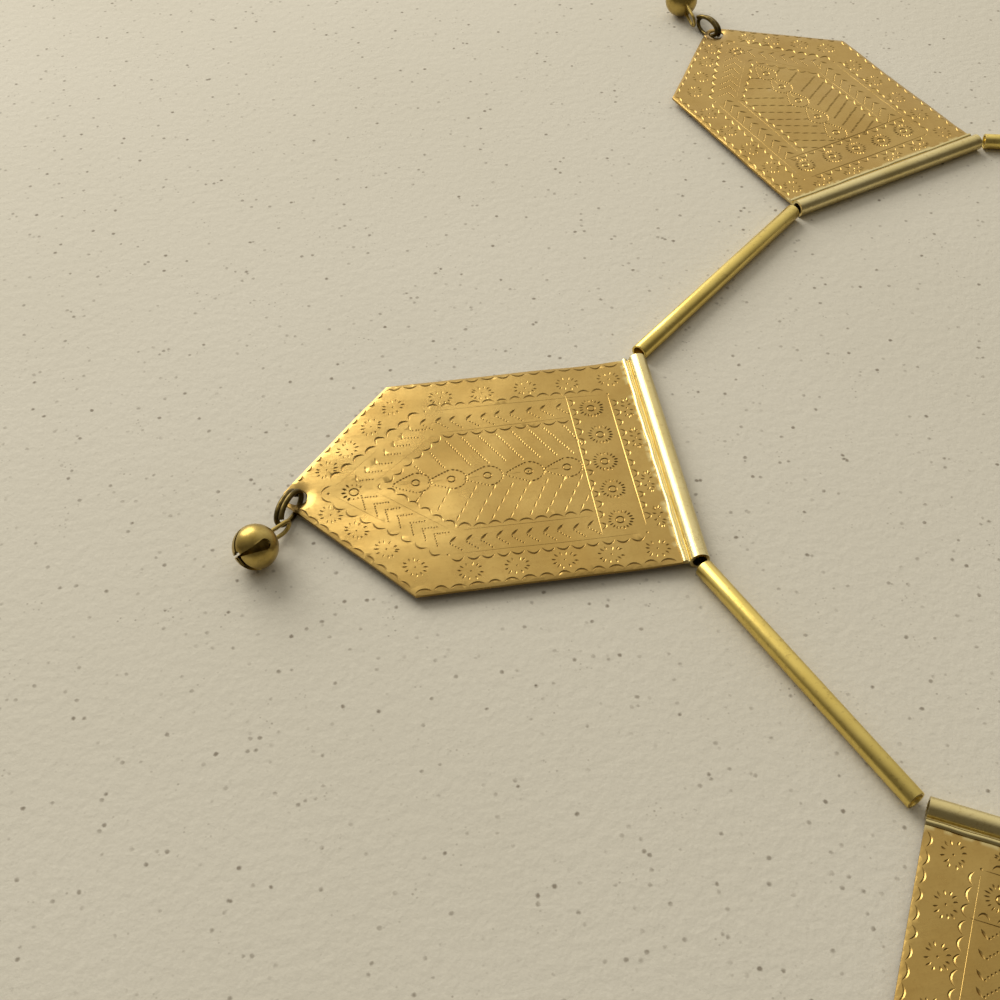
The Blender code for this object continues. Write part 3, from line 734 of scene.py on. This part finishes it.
brass = Finish("engraved brass")
cut = brass.node("ShaderNodeAttribute", {"attribute_name": "cut"}, {}, "Fac")
rolled = brass.node("ShaderNodeAttribute", {"attribute_name": "rolled"}, {}, "Fac")
patches = brass.noise(70.0, 4.0, 0.55).clamped(0.35, 0.68)
specks = brass.noise(1300.0, 3.0, 0.65).clamped(0.55, 0.72)
tarnish = brass.noise(330.0, 5.0, 0.7).clamped(0.5, 0.75)
clean = brass.mixed(patches, (0.41, 0.265, 0.076), (0.47, 0.32, 0.102))
dulled = brass.mixed(tarnish * 0.35, clean, (0.34, 0.205, 0.058))
# The rolled barrel and lip get a much paler, whiter base colour than the face: a painted highlight for the
# bright line the light leaves along the roll, not a different metal
pale = brass.mixed(patches, (0.66, 0.54, 0.235), (0.74, 0.63, 0.32))
plain = brass.mixed(rolled, dulled, pale)
specked = brass.mixed(specks * 0.35, plain, (0.33, 0.20, 0.06))
brass.surface(Base_Color=brass.mixed(cut.clamped(0.3, 1.3) * 0.38, specked, (0.20, 0.115, 0.035)),
              Metallic=1.0, Roughness=0.23 + brass.noise(130.0, 3.0) * 0.12)
scratches = brass.noise(60.0, 4.0, 0.7, brass.stretched((0.0, 0.0, 0.5), (1.0, 14.0, 1.0)))
brass.surface(Normal=brass.bump(scratches + brass.noise(650.0, 3.0) * 0.8, 0.00003, 0.7))

for k, (place, way) in enumerate(plate_places):
    settled(f"engraved_plate_{k + 1}", engraved_plate(k + 1), placement(place, way), SMOOTH_ANGLE,
            [brass.material], f"plate_{k + 1}")


# The tubes. Each is cut from thin seamless brass tube and threaded between two barrels, and its
# cut ends are rubbed smooth. Polishing leaves it a hair thinner than the model's tube.
TUBE_RADIUS, TUBE_WALL, POLISHED_OFF = 2.0, 0.5, 0.02
tube_brass = Finish("plain brass")
tube_patches = tube_brass.noise(90.0, 4.0, 0.6).clamped(0.3, 0.7)
tube_specks = tube_brass.noise(900.0, 3.0, 0.6).clamped(0.56, 0.72)
tube_clean = tube_brass.mixed(tube_patches, (0.69, 0.52, 0.135), (0.79, 0.62, 0.19))
drawn = tube_brass.noise(300.0, 3.0, 0.6)
tube_brass.surface(Base_Color=tube_brass.mixed(tube_specks * 0.4, tube_clean, (0.30, 0.20, 0.06)),
                   Metallic=1.0, Roughness=0.25 + tube_brass.noise(200.0, 2.0) * 0.12)
tube_brass.surface(Normal=tube_brass.bump(drawn + tube_brass.noise(60.0, 2.0) * 2.0, 0.00004, 0.5))
for k, ((place, way), length) in enumerate(zip(tube_places, TUBE_LENGTHS)):
    bpy.ops.object.select_all(action="DESELECT")
    bpy.ops.mesh.primitive_cylinder_add(vertices=48, radius=TUBE_RADIUS - POLISHED_OFF, depth=length,
                                        end_fill_type="NOTHING")
    tube = bpy.context.object
    wall = tube.modifiers.new("wall", "SOLIDIFY")
    wall.thickness, wall.offset = TUBE_WALL, -1.0
    soft_ends = tube.modifiers.new("soft ends", "BEVEL")
    soft_ends.width, soft_ends.segments, soft_ends.angle_limit = 0.12, 2, math.radians(60.0)
    for step in ("wall", "soft ends"):
        bpy.ops.object.modifier_apply(modifier=step)
    mesh = tube.data.copy()
    bpy.data.objects.remove(tube)
    mesh.transform(Matrix.Rotation(math.radians(90.0), 4, "Y"))
    settled(f"plain_tube_{k + 1}", mesh, placement(place, way, TUBE_RADIUS), 40.0,
            [tube_brass.material], f"tube_{k + 1}")


# The rings. Each is a bit of brass wire bent round a former to a long oval with its ends lapped,
# put through the plate's eye and the bell's loop, and dark with handling.
RING_WIRE = 1.2
RING_HALF_LENGTH, RING_HALF_HEIGHT = 4.5, 2.2
RING_PITCH, RING_TURNS, RING_LAP_START = 1.25, 1.5, 20.0
RING_LEAN, RING_OFFSET, RING_HEADING = 111.0, 3.85, 148.9
SWINGS = (-40.0, -20.0, 0.0, -55.0, -30.0)
ring_brass = Finish("darkened brass")
ring_brass.surface(Base_Color=ring_brass.mixed(ring_brass.noise(600.0, 3.0).clamped(0.35, 0.7),
                                               (0.07, 0.05, 0.014), (0.17, 0.12, 0.036)),
                   Metallic=1.0, Roughness=0.30)
ring_brass.surface(Normal=ring_brass.bump(ring_brass.noise(900.0, 3.0), 0.00004, 0.6))


def wire(name, points, diameter):
    """A round wire with closed ends along a run of points."""
    curve = bpy.data.curves.new(name, "CURVE")
    curve.dimensions = "3D"
    curve.bevel_depth, curve.bevel_resolution = diameter / 2, 4
    curve.use_fill_caps = True
    spline = curve.splines.new("POLY")
    spline.points.add(len(points) - 1)
    for spot, point in zip(spline.points, points):
        spot.co = (*point, 1.0)
    made = bpy.data.objects.new(name, curve)
    bpy.context.collection.objects.link(made)
    bpy.ops.object.select_all(action="DESELECT")
    made.select_set(True)
    bpy.context.view_layer.objects.active = made
    bpy.ops.object.convert(target="MESH")
    bpy.ops.object.mode_set(mode="EDIT")
    bpy.ops.mesh.select_all(action="SELECT")
    bpy.ops.mesh.remove_doubles(threshold=0.001)
    bpy.ops.mesh.normals_make_consistent(inside=False)
    bpy.ops.object.mode_set(mode="OBJECT")
    return made


lean = math.radians(RING_LEAN)
up = Vector((0.0, math.cos(lean), math.sin(lean)))
out = Vector((1.0, 0.0, 0.0))
ring_points = []
for angle in np.linspace(RING_LAP_START, RING_LAP_START + 360.0 * RING_TURNS, 70):
    a = math.radians(angle)
    ring_points.append(RING_HALF_LENGTH * math.cos(a) * out + RING_HALF_HEIGHT * math.sin(a) * up
                       + out.cross(up) * RING_PITCH * (angle / 360.0 - 1.0))
ring_height = RING_WIRE / 2 - min(point.z for point in ring_points)
ring_points = [point + Vector((0.0, 0.0, ring_height)) for point in ring_points]
ring = wire("ring", ring_points, RING_WIRE)
for k, (place, way) in enumerate(plate_places):
    reach = heading(RING_HEADING + SWINGS[k])
    seat = placement(place, way) @ Matrix.Translation(Vector((0.0, EYE_Y, 0.0)) + reach * RING_OFFSET)
    seat = seat @ Matrix.Rotation(math.radians(RING_HEADING + SWINGS[k]), 4, "Z")
    settled(f"wire_ring_{k + 1}", ring.data.copy(), seat, 40.0,
            [ring_brass.material], f"ring_{k + 1}")
bpy.data.objects.remove(ring)


# The bells. Each is a thin ball pressed in two cups and slit four ways from its mouth, one slit
# ending in a round hole, so that it opens in petals, with a loop of wire fixed in its crown.
MODEL_BELL_RADIUS, BELL_RADIUS, BELL_WALL = 4.8, 4.74, 0.6
BELL_REACH, BELL_HEIGHT = 17.2, 4.77
MOUTH_DIAMETER, MOUTH_TURN, MOUTH_RAISE = 2.2, -20.0, 14.0
WIDE_SLIT, KEYHOLE_SLIT, NARROW_SLIT = (1.9, 1.9, 65.0), (0.5, 2.4, 84.0), (0.55, 0.55, 70.0)
SLITS = ((45.0, WIDE_SLIT), (135.0, KEYHOLE_SLIT), (225.0, NARROW_SLIT), (315.0, NARROW_SLIT))
LOOP_WIRE, LOOP_WIDTH, LOOP_FOOT, LOOP_CLEARANCE = 0.9, 3.6, 0.35, 0.3
LOOP_ROLL, LOOP_TURN = -99.0, -13.0
bell_brass = Finish("bell brass")
bell_patches = bell_brass.noise(260.0, 4.0, 0.6).clamped(0.35, 0.65)
bell_specks = bell_brass.noise(1100.0, 3.0, 0.6).clamped(0.52, 0.7)
bell_clean = bell_brass.mixed(bell_patches, (0.37, 0.26, 0.066), (0.50, 0.375, 0.12))
bell_brass.surface(Base_Color=bell_brass.mixed(bell_specks * 0.4, bell_clean, (0.26, 0.18, 0.06)),
                   Metallic=1.0, Roughness=0.27 + bell_brass.noise(400.0, 2.0) * 0.12)
bell_brass.surface(Normal=bell_brass.bump(bell_brass.noise(700.0, 3.0), 0.00004, 0.6))
# The ball's inner wall is painted near black: painted shade for the dark hollow seen through the slits and
# the mouth, not the brass's own colour
bell_inside_painted_shade = Finish("bell inside painted shade")
bell_inside_painted_shade.surface(Base_Color=bell_inside_painted_shade.mixed(bell_inside_painted_shade.noise(500.0, 3.0), (0.014, 0.009, 0.004),
                                                 (0.035, 0.023, 0.010)), Roughness=0.7)
bpy.ops.object.select_all(action="DESELECT")
bpy.ops.mesh.primitive_uv_sphere_add(segments=64, ring_count=40, radius=BELL_RADIUS)
ball = bpy.context.object
ball.data.materials.append(bell_brass.material)
ball.data.materials.append(bell_inside_painted_shade.material)
wall = ball.modifiers.new("wall", "SOLIDIFY")
wall.thickness, wall.offset, wall.material_offset = BELL_WALL, -1.0, 1
bpy.ops.object.modifier_apply(modifier="wall")
cutters = []
for turned, (width, end_width, end_angle) in SLITS:
    end_z = BELL_RADIUS * math.cos(math.radians(end_angle))
    start = [(width / 2, BELL_RADIUS), (width / 2, BELL_RADIUS * 2)]
    keyhole = [(-y, z) for y, z in start[::-1]]
    keyhole += [(end_width / 2 * math.cos(a), end_z + end_width / 2 * math.sin(a))
                for a in np.linspace(math.pi, 2 * math.pi, 17)]
    keyhole += start
    shape = bpy.data.meshes.new("slit")
    shape.from_pydata([(0.0, y, z) for y, z in keyhole], [], [range(len(keyhole))])
    shape.materials.append(bell_brass.material)
    slit = bpy.data.objects.new("slit", shape)
    bpy.context.collection.objects.link(slit)
    bpy.ops.object.select_all(action="DESELECT")
    slit.select_set(True)
    bpy.context.view_layer.objects.active = slit
    bpy.ops.object.mode_set(mode="EDIT")
    bpy.ops.mesh.select_all(action="SELECT")
    bpy.ops.mesh.extrude_region_move(TRANSFORM_OT_translate={"value": (BELL_RADIUS * 2, 0.0, 0.0)})
    bpy.ops.mesh.select_all(action="SELECT")
    bpy.ops.mesh.normals_make_consistent(inside=False)
    bpy.ops.object.mode_set(mode="OBJECT")
    slit.rotation_euler.z = math.radians(turned)
    cutters.append(slit)
bpy.ops.mesh.primitive_cylinder_add(vertices=24, radius=MOUTH_DIAMETER / 2, depth=BELL_RADIUS,
                                    location=(0.0, 0.0, BELL_RADIUS))
cutters.append(bpy.context.object)
bpy.context.view_layer.objects.active = ball
for tool in cutters:
    step = ball.modifiers.new("cut", "BOOLEAN")
    step.operation, step.object, step.solver = "DIFFERENCE", tool, "EXACT"
    bpy.ops.object.modifier_apply(modifier="cut")
for tool in cutters:
    bpy.data.objects.remove(tool)
soft = ball.modifiers.new("soft", "BEVEL")
soft.width, soft.segments, soft.angle_limit = 0.09, 2, math.radians(50.0)
bpy.ops.object.modifier_apply(modifier="soft")
mouth = Matrix.Rotation(math.radians(MOUTH_TURN), 4, "Z")
mouth = mouth @ Matrix.Rotation(math.radians(90.0 - MOUTH_RAISE), 4, "Y")
ball.data.transform(mouth)

half = LOOP_WIDTH / 2
ring_strand = RING_OFFSET + RING_HALF_LENGTH
end_x = ring_strand - BELL_REACH - RING_WIRE / 2 - LOOP_CLEARANCE - LOOP_WIRE / 2
foot_x = -math.sqrt((MODEL_BELL_RADIUS - LOOP_FOOT) ** 2 - half ** 2)
bend = [(end_x + half - half * math.sin(a), half * math.cos(a)) for a in np.linspace(0, math.pi, 21)]
drop = math.atan2(ring_height - MODEL_BELL_RADIUS, BELL_REACH - ring_strand)
turned = Matrix.Rotation(math.radians(LOOP_TURN), 4, "Z") @ Matrix.Rotation(drop, 4, "Y")
turned = turned @ Matrix.Rotation(math.radians(LOOP_ROLL), 4, "X")
loop_points = [turned @ Vector((x, y, 0.0)) for x, y in [(foot_x, half), *bend, (foot_x, -half)]]
loop = wire("loop", loop_points, LOOP_WIRE)
bpy.ops.object.select_all(action="DESELECT")
loop.select_set(True)
ball.select_set(True)
bpy.context.view_layer.objects.active = ball
bpy.ops.object.join()
for k, (place, way) in enumerate(plate_places):
    reach = heading(RING_HEADING + SWINGS[k])
    seat = placement(place, way) @ Matrix.Translation(Vector((0.0, EYE_Y, BELL_HEIGHT)) + reach * BELL_REACH)
    seat = seat @ Matrix.Rotation(math.radians(RING_HEADING + SWINGS[k]), 4, "Z")
    settled(f"jingle_bell_{k + 1}", ball.data.copy(), seat, 40.0,
            [bell_brass.material, bell_inside_painted_shade.material], f"bell_{k + 1}")
bpy.data.objects.remove(ball)
